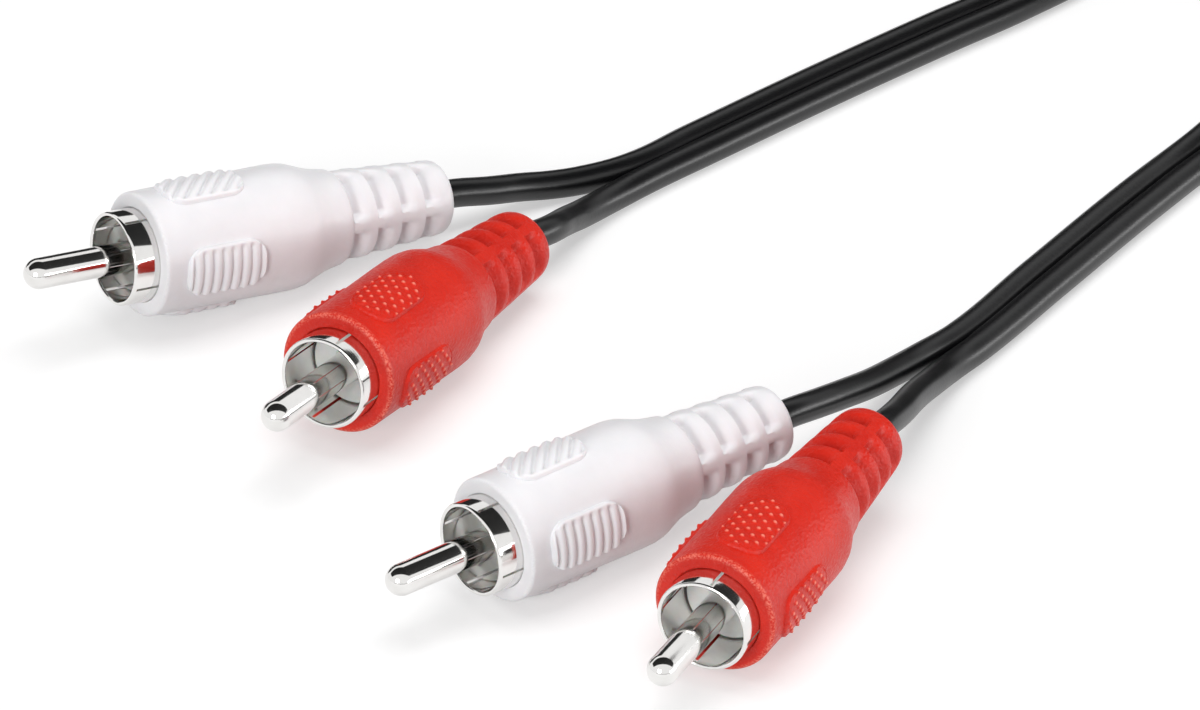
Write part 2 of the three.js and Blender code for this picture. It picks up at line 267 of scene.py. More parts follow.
copper_links.new(copper_range.outputs["Color"], copper_shader.inputs["Base Color"])
copper_dull = copper_nodes.new("ShaderNodeMapRange")
copper_dull.inputs["To Min"].default_value = 0.22
copper_dull.inputs["To Max"].default_value = 0.45
copper_links.new(tarnish.outputs["Fac"], copper_dull.inputs["Value"])
copper_links.new(copper_dull.outputs["Result"], copper_shader.inputs["Roughness"])

core_polythene = bpy.data.materials.new("cloudy_polythene")
core_polythene.use_nodes = True
core_nodes = core_polythene.node_tree.nodes
core_links = core_polythene.node_tree.links
core_shader = core_nodes["Principled BSDF"]
core_shader.inputs["Roughness"].default_value = 0.5
core_shader.inputs["Subsurface Weight"].default_value = 0.3
core_shader.inputs["Subsurface Scale"].default_value = 0.001
core_place = core_nodes.new("ShaderNodeTexCoord")
clouds = core_nodes.new("ShaderNodeTexNoise")
clouds.inputs["Scale"].default_value = 700
core_links.new(core_place.outputs["Object"], clouds.inputs["Vector"])
core_range = core_nodes.new("ShaderNodeValToRGB")
core_range.color_ramp.elements[0].color = (0.62, 0.66, 0.62, 1)
core_range.color_ramp.elements[1].color = (0.78, 0.8, 0.77, 1)
core_links.new(clouds.outputs["Fac"], core_range.inputs["Fac"])
core_links.new(core_range.outputs["Color"], core_shader.inputs["Base Color"])

for name in plug_places:
    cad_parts[f"{name}_wire"].data.materials.clear()
    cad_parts[f"{name}_wire"].data.materials.append(wire_copper)
    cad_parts[f"{name}_core"].data.materials.clear()
    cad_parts[f"{name}_core"].data.materials.append(core_polythene)


# Screen: the braid of fine copper wires round the core. It is combed open over the neck of the
# collar and crimped there, and it narrows again to the cord. It lies inside the housing too.
braid_bundles = 16
braid_climb = 9000


def braid_material(plug):
    """Two crossing sets of bundles of wires, wound round the axis of the plug."""
    braid = bpy.data.materials.new(f"{plug}_copper_braid")
    braid.use_nodes = True
    nodes = braid.node_tree.nodes
    links = braid.node_tree.links
    shader = nodes["Principled BSDF"]
    shader.inputs["Metallic"].default_value = 1
    shader.inputs["Roughness"].default_value = 0.35
    place = nodes.new("ShaderNodeTexCoord")
    along_plug = nodes.new("ShaderNodeMapping")
    along_plug.vector_type = "TEXTURE"
    along_plug.inputs["Location"].default_value = plug_frames[plug].to_translation()
    along_plug.inputs["Rotation"].default_value = plug_frames[plug].to_euler()
    links.new(place.outputs["Object"], along_plug.inputs["Vector"])
    parts = nodes.new("ShaderNodeSeparateXYZ")
    links.new(along_plug.outputs["Vector"], parts.inputs["Vector"])
    angle = nodes.new("ShaderNodeMath")
    angle.operation = "ARCTAN2"
    links.new(parts.outputs["X"], angle.inputs[0])
    links.new(parts.outputs["Z"], angle.inputs[1])
    waves = []
    for way_round in (1, -1):
        climb = nodes.new("ShaderNodeMath")
        climb.operation = "MULTIPLY"
        climb.inputs[1].default_value = way_round * braid_climb
        links.new(parts.outputs["Y"], climb.inputs[0])
        turn = nodes.new("ShaderNodeMath")
        turn.operation = "MULTIPLY_ADD"
        turn.inputs[1].default_value = braid_bundles
        links.new(angle.outputs["Value"], turn.inputs[0])
        links.new(climb.outputs["Value"], turn.inputs[2])
        wave = nodes.new("ShaderNodeMath")
        wave.operation = "SINE"
        links.new(turn.outputs["Value"], wave.inputs[0])
        waves.append(wave)
    crossing = nodes.new("ShaderNodeMath")
    crossing.operation = "MAXIMUM"
    links.new(waves[0].outputs["Value"], crossing.inputs[0])
    links.new(waves[1].outputs["Value"], crossing.inputs[1])
    shades = nodes.new("ShaderNodeValToRGB")
    shades.color_ramp.elements[0].color = (0.2, 0.08, 0.04, 1)
    shades.color_ramp.elements[1].color = (0.8, 0.43, 0.28, 1)
    links.new(crossing.outputs["Value"], shades.inputs["Fac"])
    links.new(shades.outputs["Color"], shader.inputs["Base Color"])
    strands_bump = nodes.new("ShaderNodeBump")
    strands_bump.inputs["Strength"].default_value = 0.8
    strands_bump.inputs["Distance"].default_value = 0.0001
    links.new(crossing.outputs["Value"], strands_bump.inputs["Height"])
    links.new(strands_bump.outputs["Normal"], shader.inputs["Normal"])
    return braid


for name in plug_places:
    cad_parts[f"{name}_screen"].data.materials.clear()
    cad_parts[f"{name}_screen"].data.materials.append(braid_material(name))


# Pin: the centre contact, turned from brass rod and plated with bright nickel. Its front is a
# dome, and behind the insulator it steps down to a shank with a drilled solder cup.
pin_radius = 1.6
pin_reach = 10.0
contact_depth = 5.3
pin_step_end = 7.2
shank_radius = 1.1
shank_end = 18.6
cup_radius = 0.7
cup_depth = 2.6
turned_smoothing = math.radians(32)


def turned_piece(name, stations, sides):
    """A ring is drawn through (radius, place along the axis) and its ends are closed."""
    bpy.ops.object.select_all(action="DESELECT")
    radius, place = stations[0]
    bpy.ops.mesh.primitive_circle_add(
        vertices=sides,
        radius=radius / 1000,
        location=(0, place / 1000, 0),
        rotation=(math.pi / 2, 0, 0),
    )
    piece = bpy.context.object
    piece.name = name
    bpy.ops.object.transform_apply(location=True, rotation=True, scale=True)
    bpy.ops.object.mode_set(mode="EDIT")
    bpy.ops.mesh.select_all(action="SELECT")
    for next_radius, next_place in stations[1:]:
        bpy.ops.mesh.extrude_region_move(
            TRANSFORM_OT_translate={"value": (0, (next_place - place) / 1000, 0)}
        )
        bpy.ops.transform.resize(
            value=(next_radius / radius, 1, next_radius / radius),
            center_override=(0, next_place / 1000, 0),
        )
        radius, place = next_radius, next_place
    bpy.ops.mesh.select_all(action="SELECT")
    bpy.ops.mesh.remove_doubles(threshold=0.000002)
    bpy.ops.mesh.fill_holes(sides=0)
    bpy.ops.mesh.select_all(action="SELECT")
    bpy.ops.mesh.normals_make_consistent(inside=False)
    bpy.ops.object.mode_set(mode="OBJECT")
    return piece


def rounded(centre_radius, centre_place, corner, from_angle, to_angle, steps):
    """Stations round a corner of a profile, with the angles in degrees."""
    stations = []
    for i in range(steps + 1):
        angle = math.radians(from_angle + (to_angle - from_angle) * i / steps)
        radius = centre_radius + corner * math.cos(angle)
        stations.append((radius, centre_place + corner * math.sin(angle)))
    return stations


def keep_plug_place(piece):
    """The mesh keeps each point's place in the plug, in millimetres, for patterns that follow it."""
    places = piece.data.attributes.new("plug_place", "FLOAT_VECTOR", "POINT")
    for entry, vertex in zip(places.data, piece.data.vertices):
        entry.vector = vertex.co * 1000


def fit_into_plug(piece, plug, node):
    """A copy of the piece with its own mesh, at its place in one plug, instead of the plain solid."""
    bpy.ops.object.select_all(action="DESELECT")
    bpy.context.view_layer.objects.active = piece
    piece.select_set(True)
    bpy.ops.object.duplicate()
    fitted = bpy.context.object
    fitted.name = f"{plug}_{node}_piece"
    fitted.data.name = fitted.name
    fitted.matrix_world = plug_frames[plug]
    bpy.ops.object.transform_apply(location=True, rotation=True, scale=True)
    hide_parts(f"{plug}_{node}")
    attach(fitted, "root")
    return fitted


def put_away(piece):
    """The pattern piece isn't needed once its copies are in place."""
    bpy.ops.object.select_all(action="DESELECT")
    piece.select_set(True)
    bpy.ops.object.delete()


pin = turned_piece(
    "pin",
    rounded(0, pin_radius - pin_reach, pin_radius, -87, 0, 14)
    + [
        (pin_radius, -4.0),
        (pin_radius, 2.0),
        (pin_radius, pin_step_end - 0.1),
        (pin_radius - 0.1, pin_step_end),
        (shank_radius, pin_step_end),
        (shank_radius, shank_end - 0.08),
        (shank_radius - 0.08, shank_end),
        (cup_radius, shank_end),
        (cup_radius, shank_end - cup_depth),
        (0.05, shank_end - cup_depth - 0.3),
    ],
    64,
)
keep_plug_place(pin)
bpy.ops.object.shade_smooth_by_angle(angle=turned_smoothing)


def nickel_material(name, line_scale, line_depth):
    """Bright nickel with the fine lines of the tool round the axis, and a few soft clouds."""
    nickel = bpy.data.materials.new(name)
    nickel.use_nodes = True
    nodes = nickel.node_tree.nodes
    links = nickel.node_tree.links
    shader = nodes["Principled BSDF"]
    shader.inputs["Metallic"].default_value = 1
    place = nodes.new("ShaderNodeAttribute")
    place.attribute_name = "plug_place"
    clouds = nodes.new("ShaderNodeTexNoise")
    clouds.inputs["Scale"].default_value = 0.5
    clouds.inputs["Detail"].default_value = 4
    links.new(place.outputs["Vector"], clouds.inputs["Vector"])
    shades = nodes.new("ShaderNodeValToRGB")
    shades.color_ramp.elements[0].color = (0.74, 0.73, 0.71, 1)
    shades.color_ramp.elements[1].color = (0.86, 0.85, 0.84, 1)
    links.new(clouds.outputs["Fac"], shades.inputs["Fac"])
    links.new(shades.outputs["Color"], shader.inputs["Base Color"])
    gloss = nodes.new("ShaderNodeMapRange")
    gloss.inputs["To Min"].default_value = 0.05
    gloss.inputs["To Max"].default_value = 0.12
    links.new(clouds.outputs["Fac"], gloss.inputs["Value"])
    links.new(gloss.outputs["Result"], shader.inputs["Roughness"])
    stretched = nodes.new("ShaderNodeMapping")
    stretched.inputs["Scale"].default_value = (0.15, line_scale, 0.15)
    links.new(place.outputs["Vector"], stretched.inputs["Vector"])
    lines = nodes.new("ShaderNodeTexNoise")
    lines.inputs["Scale"].default_value = 1
    lines.inputs["Detail"].default_value = 2
    links.new(stretched.outputs["Vector"], lines.inputs["Vector"])
    lines_bump = nodes.new("ShaderNodeBump")
    lines_bump.inputs["Strength"].default_value = 0.25
    lines_bump.inputs["Distance"].default_value = line_depth
    links.new(lines.outputs["Fac"], lines_bump.inputs["Height"])
    links.new(lines_bump.outputs["Normal"], shader.inputs["Normal"])
    return nickel


pin.data.materials.append(nickel_material("turned_nickel", line_scale=14, line_depth=0.000004))
for name in plug_places:
    fit_into_plug(pin, name, "pin")
put_away(pin)


# Insulator: a stepped bush of natural nylon, pressed into the collar, that holds the pin in the
# middle. Its front face is the floor that shows in the mouth of the collar.
insulator_radius = 4.2
insulator_neck = 2.6
insulator_front_end = 8.4
insulator_end = 16.0
pin_bore = 1.65
shank_bore = 1.2

insulator = turned_piece(
    "insulator",
    [
        (pin_bore, contact_depth + 0.15),
        (pin_bore + 0.15, contact_depth),
        (2.4, contact_depth),
        (3.3, contact_depth),
        (insulator_radius - 0.12, contact_depth),
        (insulator_radius, contact_depth + 0.12),
        (insulator_radius, insulator_front_end),
        (insulator_neck, insulator_front_end),
        (insulator_neck, insulator_end - 0.1),
        (insulator_neck - 0.1, insulator_end),
        (shank_bore, insulator_end),
        (shank_bore, pin_step_end + 0.15),
        (pin_bore, pin_step_end + 0.15),
        (pin_bore, contact_depth + 0.15),
    ],
    64,
)
keep_plug_place(insulator)
bpy.ops.object.shade_smooth_by_angle(angle=turned_smoothing)

nylon = bpy.data.materials.new("natural_nylon")
nylon.use_nodes = True
nylon_nodes = nylon.node_tree.nodes
nylon_links = nylon.node_tree.links
nylon_shader = nylon_nodes["Principled BSDF"]
nylon_shader.inputs["Roughness"].default_value = 0.42
nylon_shader.inputs["Subsurface Weight"].default_value = 0.25
nylon_shader.inputs["Subsurface Scale"].default_value = 0.0006
nylon_place = nylon_nodes.new("ShaderNodeAttribute")
nylon_place.attribute_name = "plug_place"
milky = nylon_nodes.new("ShaderNodeTexNoise")
milky.inputs["Scale"].default_value = 1.4
nylon_links.new(nylon_place.outputs["Vector"], milky.inputs["Vector"])
nylon_range = nylon_nodes.new("ShaderNodeValToRGB")
nylon_range.color_ramp.elements[0].color = (0.66, 0.66, 0.64, 1)
nylon_range.color_ramp.elements[1].color = (0.78, 0.78, 0.76, 1)
nylon_links.new(milky.outputs["Fac"], nylon_range.inputs["Fac"])
nylon_links.new(nylon_range.outputs["Color"], nylon_shader.inputs["Base Color"])
insulator.data.materials.append(nylon)
for name in plug_places:
    fit_into_plug(insulator, name, "insulator")
put_away(insulator)


# Collar: the outer contact, stamped and rolled from thin nickel-plated brass. Four slits let it
# spring over the jack, and a narrow neck behind it carries the crimped screen.
collar_radius = 4.8
collar_wall = 0.45
collar_end = 9.0
neck_radius = 3.2
neck_end = 15.0
slit_width = 0.3
slit_end = 7.4
slit_flare = 0.35
slit_flare_widening = 2.6

collar_bore = collar_radius - collar_wall
rim_middle = collar_radius - collar_wall / 2
collar = turned_piece(
    "collar",
    rounded(rim_middle, collar_wall / 2, collar_wall / 2, -180, 0, 8)
    + [(collar_radius, 3.0), (collar_radius, 6.0)]
    + rounded(collar_radius - 0.5, collar_end - 0.5, 0.5, 0, 90, 5)
    + [(neck_radius, collar_end), (neck_radius, neck_end), (neck_radius - collar_wall, neck_end)]
    + [(neck_radius - collar_wall, collar_end - collar_wall), (collar_bore, collar_end - collar_wall)]
    + [(collar_bore, 6.0), (collar_bore, 3.0), (collar_bore, collar_wall / 2)],
    96,
)

for slit_angle in (0, 90):
    bpy.ops.object.select_all(action="DESELECT")
    bpy.ops.mesh.primitive_cube_add(
        size=0.001,
        location=(0, (slit_flare + slit_end) / 2000, 0),
        scale=(slit_width, slit_end - slit_flare, 2 * collar_radius + 2),
    )
    slit_cutter = bpy.context.object
    bpy.ops.object.transform_apply(location=True, rotation=True, scale=True)
    bpy.ops.object.mode_set(mode="EDIT")
    bpy.ops.mesh.select_all(action="DESELECT")
    cutter_mesh = bmesh.from_edit_mesh(slit_cutter.data)
    for face in cutter_mesh.faces:
        face.select_set(face.normal.y < -0.9)
    bmesh.update_edit_mesh(slit_cutter.data)
    bpy.ops.mesh.extrude_region_move(TRANSFORM_OT_translate={"value": (0, -2 * slit_flare / 1000, 0)})
    bpy.ops.transform.resize(
        value=(slit_flare_widening, 1, 1),
        center_override=(0, -slit_flare / 1000, 0),
    )
    bpy.ops.mesh.select_all(action="SELECT")
    bpy.ops.transform.rotate(
        value=math.radians(slit_angle),
        orient_axis="Y",
        center_override=(0, 0, 0),
    )
    bpy.ops.mesh.normals_make_consistent(inside=False)
    bpy.ops.object.mode_set(mode="OBJECT")
    slits = collar.modifiers.new("slits", "BOOLEAN")
    slits.object = slit_cutter
    slits.solver = "EXACT"
    bpy.context.view_layer.objects.active = collar
    bpy.ops.object.modifier_apply(modifier="slits")
    put_away(slit_cutter)
bpy.ops.object.select_all(action="DESELECT")
collar.select_set(True)
bpy.context.view_layer.objects.active = collar
keep_plug_place(collar)
bpy.ops.object.shade_smooth_by_angle(angle=turned_smoothing)
collar.data.materials.append(nickel_material("rolled_nickel", line_scale=5, line_depth=0.000006))
for name, place in plug_places.items():
    fitted_collar = fit_into_plug(collar, name, "collar")
    rim_place = plug_frames[name].to_translation()
    axis = plug_frames[name].to_3x3() @ Vector((0, 1, 0))
    turn = Matrix.Rotation(math.radians(place["collar_turn"]), 4, axis)
    fitted_collar.data.transform(Matrix.Translation(rim_place) @ turn @ Matrix.Translation(-rim_place))
put_away(collar)


# Housing: each plug is moulded round its contact in one shot, white for left and red for right, in
# a satin plastic with a finely eroded grain. A straight grip runs over a rounded shoulder into a
# strain relief that bends easily, because four rows of slots are cut between four webs.
nose_face = 2.8
nose_round = 0.4
nose_ease = 0.12
grip_front_radius = 6.38
relief_start = 25.4
relief_front_radius = 4.75
relief_rear_radius = 3.8
relief_end_round = 0.8
slot_rows = 4
slot_pitch = 2.93
slot_length = 2.2
slot_lip = 0.12
slot_depth = 1.25
slot_half_angle = 37
slot_rising_end = 8
web_turns = {"white": -9, "red": 18}
bore_radius = 4.82
collar_bore_end = 9.15
screen_bore_radius = 3.85
screen_bore_taper = 16.0
screen_bore_end = 21.15
cord_bore_radius = 1.65
housing_sides = 96


def relief_radius(place):
    """The outside of the strain relief, which tapers to the rear."""
    share = (place - relief_start) / (rear_end - relief_start)
    return relief_front_radius + (relief_rear_radius - relief_front_radius) * share


slot_starts = [relief_start + i * slot_pitch for i in range(slot_rows)]

# How deep a slot is along its length: a steep front wall, then a floor that rises to the rear
slot_shape = [(0.08, 0.95), (0.3, 1.0), (0.75, 0.86), (1.15, 0.62), (1.55, 0.36), (1.95, 0.12)]

outside_profile = [
    (bore_radius, nose_face + nose_ease),
    (bore_radius + nose_ease, nose_face),
    (5.6, nose_face),
    *rounded(grip_front_radius - nose_round, nose_face + nose_round, nose_round, -90, 0, 5),
    (grip_front_radius, 5.0),
    (grip_front_radius + 0.02, 8.0),
    (grip_front_radius + 0.05, 11.0),
    (body_radius - 0.03, 14.0),
    (body_radius, 16.5),
    (body_radius, 18.6),
    (body_radius - 0.04, 19.6),
    (body_radius - 0.2, 20.5),
    (body_radius - 0.5, 21.3),
    (body_radius - 0.85, 22.2),
    (body_radius - 1.15, 23.1),
    (body_radius - 1.35, 24.0),
    (body_radius - 1.47, 24.7),
    (relief_front_radius + 0.22, relief_start - 0.35),
    (relief_front_radius + 0.1, relief_start - 0.1),
]
for slot_start in slot_starts:
    rings = [0] + [step for step, depth in slot_shape] + [slot_length]
    if slot_start != slot_starts[-1]:
        rings.append(slot_pitch - slot_lip)
    outside_profile += [(relief_radius(slot_start + step), slot_start + step) for step in rings]
round_place = rear_end - relief_end_round
outside_profile += [
    (relief_rear_radius + 0.02, round_place),
    *rounded(relief_rear_radius - relief_end_round, round_place, relief_end_round, 15, 90, 5),
]
bore_profile = [
    (cord_bore_radius + 0.12, rear_end),
    (cord_bore_radius, rear_end - 0.12),
    (cord_bore_radius, screen_bore_end),
    (screen_bore_radius, screen_bore_taper),
    (screen_bore_radius, collar_bore_end),
    (bore_radius, collar_bore_end),
    (bore_radius, nose_face + nose_ease),
]


def moulded_body(name, web_turn):
    """The turned body with its slots pressed in between the webs, each with softly rising ends."""
    body = turned_piece(name, outside_profile + bore_profile, housing_sides)
    slot_rings = {}
    for slot_start in slot_starts:
        for step, depth in slot_shape:
            slot_rings[round(slot_start + step, 2)] = relief_radius(slot_start + step), depth
    for vertex in body.data.vertices:
        from_axis = math.hypot(vertex.co.x, vertex.co.z) * 1000
        angle = math.degrees(math.atan2(vertex.co.x, vertex.co.z))
        from_middle = abs((angle - web_turn) % 90 - 45)
        place = round(vertex.co.y * 1000, 2)
        in_slot = place in slot_rings and from_middle < slot_half_angle
        if in_slot and from_axis > cord_bore_radius + 0.3:
            radius, depth = slot_rings[place]
            rise = min((slot_half_angle - from_middle) / slot_rising_end, 1)
            pressed = (radius - slot_depth * depth * rise) / radius
            vertex.co.x *= pressed
            vertex.co.z *= pressed
    return body


# Grip pads: a raised patch with round ends on each of the four sides of a housing. White has
# slanting ridges on two sides and straight ones between them, and red has small round studs.
pad_start = 5.1
pad_width = 5.4
pad_corner = 2.1
pad_proud = 0.45
pad_root = -0.5
pad_rim = -0.15
pad_rim_round = 0.35
ridge_pitch = 1.1
ridge_groove = 0.3
ridge_shoulder = 0.5
pad_rows = 92
pad_columns = 58
stud_pitch_across = 0.77
stud_pitch_along = 1.37
stud_radius = 0.3
stud_bed = 0.22
stud_bed_edge = 0.7
stud_border = 0.35
border_middle = 0.25
border_half_width = 0.14
border_strength = 0.3


def pad_edge_distance(across, along):
    """How far inside the pad's rounded outline a point is."""
    dx = abs(across) - (pad_width / 2 - pad_corner)
    dy = abs(along) - ((pad_end - pad_start) / 2 - pad_corner)
    return pad_corner - math.hypot(max(dx, 0), max(dy, 0)) - min(max(dx, dy), 0)


def grip_pad(name, relief, side_angle):
    """A patch laid round one side of the body, with its height from relief(across, along, inside)."""
    bpy.ops.object.select_all(action="DESELECT")
    bpy.ops.mesh.primitive_grid_add(x_subdivisions=pad_columns, y_subdivisions=pad_rows, size=0.002)
    pad = bpy.context.object
    pad.name = name
    bpy.ops.object.mode_set(mode="EDIT")
    bpy.ops.mesh.select_all(action="SELECT")
    bpy.ops.mesh.extrude_region_move(TRANSFORM_OT_translate={"value": (0, 0, -0.001)})
    bpy.ops.mesh.select_all(action="SELECT")
    bpy.ops.mesh.normals_make_consistent(inside=False)
    bpy.ops.object.mode_set(mode="OBJECT")
    pad_half_length = (pad_end - pad_start) / 2
    middle = (pad_start + pad_end) / 2
    for vertex in pad.data.vertices:
        share_across, share_along = vertex.co.x * 1000, vertex.co.y * 1000
        along = share_along * pad_half_length
        past_corner = max(abs(along) - (pad_half_length - pad_corner), 0)
        round_off = pad_corner - math.sqrt(max(pad_corner**2 - past_corner**2, 0))
        across = share_across * (pad_width / 2 - round_off)
        height = pad_root
        if vertex.co.z > -0.0005:
            inside = pad_edge_distance(across, along)
            side = min(max(inside / pad_rim_round, 0), 1)
            rise = relief(across, along, inside) - pad_rim
            height = pad_rim + rise * math.sqrt(1 - (1 - side) ** 2)
        radius = (body_radius + height) / 1000
        angle = math.radians(side_angle) + across / body_radius
        vertex.co = (radius * math.sin(angle), (middle + along) / 1000, radius * math.cos(angle))
    return pad


def ridged(slant, plain_edge):
    """Ridges across the pad. The grooves between them stop short of one long edge, -1 or +1."""
    turning = 2 * math.pi / (ridge_pitch * math.sqrt(1 + slant**2))

    def relief(across, along, inside):
        wave = 0.5 + 0.5 * math.cos((along + slant * across) * turning)
        groove = (1 - wave) ** 2
        from_plain_edge = pad_width / 2 - pad_rim_round - plain_edge * across
        shoulder = min(max(from_plain_edge / ridge_shoulder, 0), 1)
        return pad_proud - ridge_groove * groove * shoulder

    return relief


def dotted(across, along, inside):
    """Small round studs in staggered columns, inside a thin raised border."""
    column = round(across / stud_pitch_across)
    shift = stud_pitch_along / 2 if column % 2 else 0
    row = round((along - shift) / stud_pitch_along)
    distance = math.hypot(across - column * stud_pitch_across, along - shift - row * stud_pitch_along)
    stud = max(1 - (distance / stud_radius) ** 2, 0) if inside > stud_border else 0
    border = border_strength * max(1 - ((inside - border_middle) / border_half_width) ** 2, 0)
    bed = stud_bed * min(max(inside / stud_bed_edge, 0), 1)
    return bed + (pad_proud - bed) * max(stud, border)


def plastic_material(name, dark, light, painted_highlight_colour, grain_depth, shine, soft):
    """Moulded plastic with the mould's grain, and a paler painted highlight on the grip's tips and the
    nose's edge.
    """
    plastic = bpy.data.materials.new(name)
    plastic.use_nodes = True
    nodes = plastic.node_tree.nodes
    links = plastic.node_tree.links
    shader = nodes["Principled BSDF"]
    shader.inputs["Specular IOR Level"].default_value = shine
    shader.inputs["Subsurface Weight"].default_value = soft
    shader.inputs["Subsurface Scale"].default_value = 0.0008
    place = nodes.new("ShaderNodeAttribute")
    place.attribute_name = "plug_place"
    drift = nodes.new("ShaderNodeTexNoise")
    drift.inputs["Scale"].default_value = 0.25
    drift.inputs["Detail"].default_value = 4
    links.new(place.outputs["Vector"], drift.inputs["Vector"])
    shades = nodes.new("ShaderNodeValToRGB")
    shades.color_ramp.elements[0].position = 0.3
    shades.color_ramp.elements[0].color = (*dark, 1)
    shades.color_ramp.elements[1].position = 0.7
    shades.color_ramp.elements[1].color = (*light, 1)
    links.new(drift.outputs["Fac"], shades.inputs["Fac"])
    grain = nodes.new("ShaderNodeTexNoise")
    grain.inputs["Scale"].default_value = 2.6
    grain.inputs["Detail"].default_value = 3
    links.new(place.outputs["Vector"], grain.inputs["Vector"])

    # The tips of the grip are the farthest points from the plug's axis, and they get a painted
    # highlight
    across_plug = nodes.new("ShaderNodeMapping")
    across_plug.inputs["Scale"].default_value = (1, 0, 1)
    links.new(place.outputs["Vector"], across_plug.inputs["Vector"])
    from_axis = nodes.new("ShaderNodeVectorMath")
    from_axis.operation = "LENGTH"
    links.new(across_plug.outputs["Vector"], from_axis.inputs[0])
    tips = nodes.new("ShaderNodeMapRange")
    tips.inputs["From Min"].default_value = pad_top_radius - 0.14
    tips.inputs["From Max"].default_value = pad_top_radius - 0.03
    links.new(from_axis.outputs["Value"], tips.inputs["Value"])

    # The nose's edge is a ring, where a fine noise breaks the painted highlight up into specks
    parts = nodes.new("ShaderNodeSeparateXYZ")
    links.new(place.outputs["Vector"], parts.inputs["Vector"])
    profile = nodes.new("ShaderNodeCombineXYZ")
    links.new(from_axis.outputs["Value"], profile.inputs["X"])
    links.new(parts.outputs["Y"], profile.inputs["Y"])
    from_edge = nodes.new("ShaderNodeVectorMath")
    from_edge.operation = "DISTANCE"
    from_edge.inputs[1].default_value = (grip_front_radius - 0.1, nose_face + 0.1, 0)
    links.new(profile.outputs["Vector"], from_edge.inputs[0])
    edge = nodes.new("ShaderNodeMapRange")
    edge.inputs["From Min"].default_value = 0.5
    edge.inputs["From Max"].default_value = 0.1
    edge.inputs["To Max"].default_value = 0.75
    links.new(from_edge.outputs["Value"], edge.inputs["Value"])
    speck_noise = nodes.new("ShaderNodeTexNoise")
    speck_noise.inputs["Scale"].default_value = 5
    links.new(place.outputs["Vector"], speck_noise.inputs["Vector"])
    specks = nodes.new("ShaderNodeMapRange")
    specks.inputs["From Min"].default_value = 0.42
    specks.inputs["From Max"].default_value = 0.62
    links.new(speck_noise.outputs["Fac"], specks.inputs["Value"])
    edge_highlight_specks = nodes.new("ShaderNodeMath")
    edge_highlight_specks.operation = "MULTIPLY"
    links.new(edge.outputs["Result"], edge_highlight_specks.inputs[0])
    links.new(specks.outputs["Result"], edge_highlight_specks.inputs[1])
    painted_highlight = nodes.new("ShaderNodeMath")
    painted_highlight.operation = "MAXIMUM"
    links.new(tips.outputs["Result"], painted_highlight.inputs[0])
    links.new(edge_highlight_specks.outputs["Value"], painted_highlight.inputs[1])
    # A paler colour is mixed into the base colour there as a painted highlight
    with_painted_highlight = nodes.new("ShaderNodeMixRGB")
    with_painted_highlight.inputs["Color2"].default_value = (*painted_highlight_colour, 1)
    links.new(painted_highlight.outputs["Value"], with_painted_highlight.inputs["Fac"])
    links.new(shades.outputs["Color"], with_painted_highlight.inputs["Color1"])
    links.new(with_painted_highlight.outputs["Color"], shader.inputs["Base Color"])

    # The peaks of the grain are smoother than its pits
    gloss = nodes.new("ShaderNodeMapRange")
    gloss.inputs["From Min"].default_value = 0.3
    gloss.inputs["From Max"].default_value = 0.7
    gloss.inputs["To Min"].default_value = 0.5
    gloss.inputs["To Max"].default_value = 0.28
    links.new(grain.outputs["Fac"], gloss.inputs["Value"])
    links.new(gloss.outputs["Result"], shader.inputs["Roughness"])
    grain_bump = nodes.new("ShaderNodeBump")
    grain_bump.inputs["Strength"].default_value = 0.5
    grain_bump.inputs["Distance"].default_value = grain_depth
    links.new(grain.outputs["Fac"], grain_bump.inputs["Height"])
    links.new(grain_bump.outputs["Normal"], shader.inputs["Normal"])
    return plastic


housing_finishes = {
    "white": plastic_material(
        "white_plastic",
        dark=(0.8, 0.79, 0.81),
        light=(0.85, 0.84, 0.86),
        # A paler white, painted in as a highlight on the grip's tips and the nose's edge
        painted_highlight_colour=(0.87, 0.86, 0.88),
        grain_depth=0.00003,
        shine=0.4,
        soft=0.04,
    ),
    "red": plastic_material(
        "red_plastic",
        dark=(0.6, 0.013, 0.004),
        light=(0.7, 0.021, 0.007),
        # A paler, pinker red, painted in as a highlight on the studs and in specks on the nose's edge
        painted_highlight_colour=(0.9, 0.24, 0.17),
        grain_depth=0.0003,
        shine=0.35,
        soft=0.03,
    ),
}
pad_reliefs = {
    "white": (ridged(1, 1), ridged(0, -1), ridged(1, 1), ridged(0, -1)),
    "red": (dotted, dotted, dotted, dotted),
}

for colour, finish in housing_finishes.items():
    housing = moulded_body(f"{colour}_housing", web_turns[colour])
    pads = []
    for i, relief in enumerate(pad_reliefs[colour]):
        pads.append(grip_pad(f"{colour}_pad_{i}", relief, 90 * i))
    bpy.ops.object.select_all(action="DESELECT")
    for pad in pads:
        pad.select_set(True)
    housing.select_set(True)
    bpy.context.view_layer.objects.active = housing
    bpy.ops.object.join()
    keep_plug_place(housing)
    bpy.ops.object.shade_smooth_by_angle(angle=math.radians(40))
    housing.data.materials.append(finish)
    for end in ("a", "b"):
        fit_into_plug(housing, f"{colour}_{end}", "housing")
    put_away(housing)


# Floor and light: a plain white table, with soft lamps in front, low at the right and overhead.
# The table is white to the camera and in the metal, and keeps the soft shadow of the plugs.
bpy.ops.object.select_all(action="DESELECT")
bpy.ops.mesh.primitive_plane_add(size=8, location=(0, 0, 0))
table = bpy.context.object
table.name = "white_table"
table_white = bpy.data.materials.new("table_white")
table_white.use_nodes = True
table_shader = table_white.node_tree.nodes["Principled BSDF"]
table_shader.inputs["Base Color"].default_value = (0.6, 0.6, 0.6, 1)
table_shader.inputs["Roughness"].default_value = 0.9
table_shader.inputs["Specular IOR Level"].default_value = 0.1
table_shader.inputs["Emission Color"].default_value = (1, 1, 1, 1)
table.data.materials.append(table_white)


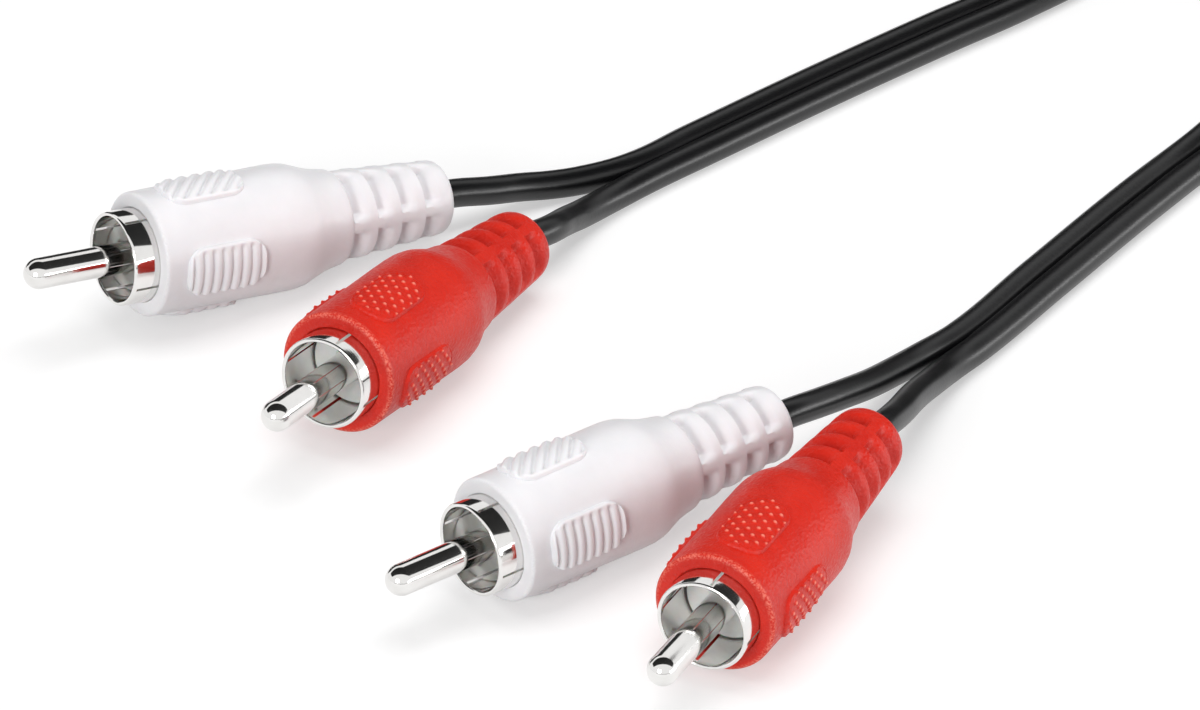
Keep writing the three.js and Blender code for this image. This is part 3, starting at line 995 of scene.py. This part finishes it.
def seen_strength(tree, seen, unseen):
    """One strength for what the camera sees, also in metal or glass, and another for lighting."""
    path = tree.nodes.new("ShaderNodeLightPath")
    mirrored = tree.nodes.new("ShaderNodeMath")
    mirrored.operation = "MAXIMUM"
    tree.links.new(path.outputs["Is Glossy Ray"], mirrored.inputs[0])
    tree.links.new(path.outputs["Is Transmission Ray"], mirrored.inputs[1])
    visible = tree.nodes.new("ShaderNodeMath")
    visible.operation = "MAXIMUM"
    tree.links.new(path.outputs["Is Camera Ray"], visible.inputs[0])
    tree.links.new(mirrored.outputs["Value"], visible.inputs[1])
    strength = tree.nodes.new("ShaderNodeMapRange")
    strength.inputs["To Min"].default_value = unseen
    strength.inputs["To Max"].default_value = seen
    tree.links.new(visible.outputs["Value"], strength.inputs["Value"])
    return strength.outputs["Result"]


own_light = seen_strength(table_white.node_tree, 0.45, 0)
table_white.node_tree.links.new(own_light, table_shader.inputs["Emission Strength"])

studio = bpy.data.worlds.new("studio")
studio.use_nodes = True
sky = studio.node_tree.nodes["Background"]
sky.inputs["Color"].default_value = (1, 1, 1, 1)
studio.node_tree.links.new(seen_strength(studio.node_tree, 1, 0.3), sky.inputs["Strength"])
bpy.context.scene.world = studio

for name, place, width, height, power in (
    ("front_lamp", (-0.5, -1.03, 0.4), 0.45, 0.45, 7),
    ("side_lamp", (1.15, -0.25, 0.16), 1.4, 0.26, 6),
    ("top_lamp", (0.1, 0.1, 1.1), 0.9, 0.9, 8),
):
    bpy.ops.object.light_add(type="AREA", location=place)
    lamp = bpy.context.object
    lamp.name = name
    lamp.data.shape = "RECTANGLE"
    lamp.data.size = width
    lamp.data.size_y = height
    lamp.data.energy = power
    lamp.rotation_euler = (view_target - Vector(place)).to_track_quat("-Z", "Y").to_euler()
    lamp.visible_camera = False
    lamp.visible_glossy = name != "top_lamp"

# Black cards overhead, behind and low in front, which only the metal shows, as dark bands
card_black = bpy.data.materials.new("card_black")
card_black.use_nodes = True
card_shader = card_black.node_tree.nodes["Principled BSDF"]
card_shader.inputs["Base Color"].default_value = (0.01, 0.01, 0.01, 1)
card_shader.inputs["Roughness"].default_value = 0.9
for name, place, width, depth, tilt in (
    ("overhead_card", (0, 0.1, 0.6), 2.6, 0.7, 0),
    ("back_card", (0, 1.3, 0.4), 3.4, 0.8, 90),
    ("front_card", (0, -1.5, 0.03), 3, 0.06, 90),
):
    bpy.ops.object.select_all(action="DESELECT")
    bpy.ops.mesh.primitive_plane_add(size=1, location=place, rotation=(math.radians(tilt), 0, 0))
    card = bpy.context.object
    card.name = name
    card.scale = (width, depth, 1)
    bpy.ops.object.transform_apply(location=True, rotation=True, scale=True)
    card.data.materials.append(card_black)
    card.visible_camera = False
    card.visible_diffuse = False
    card.visible_shadow = False
    card.visible_transmission = False
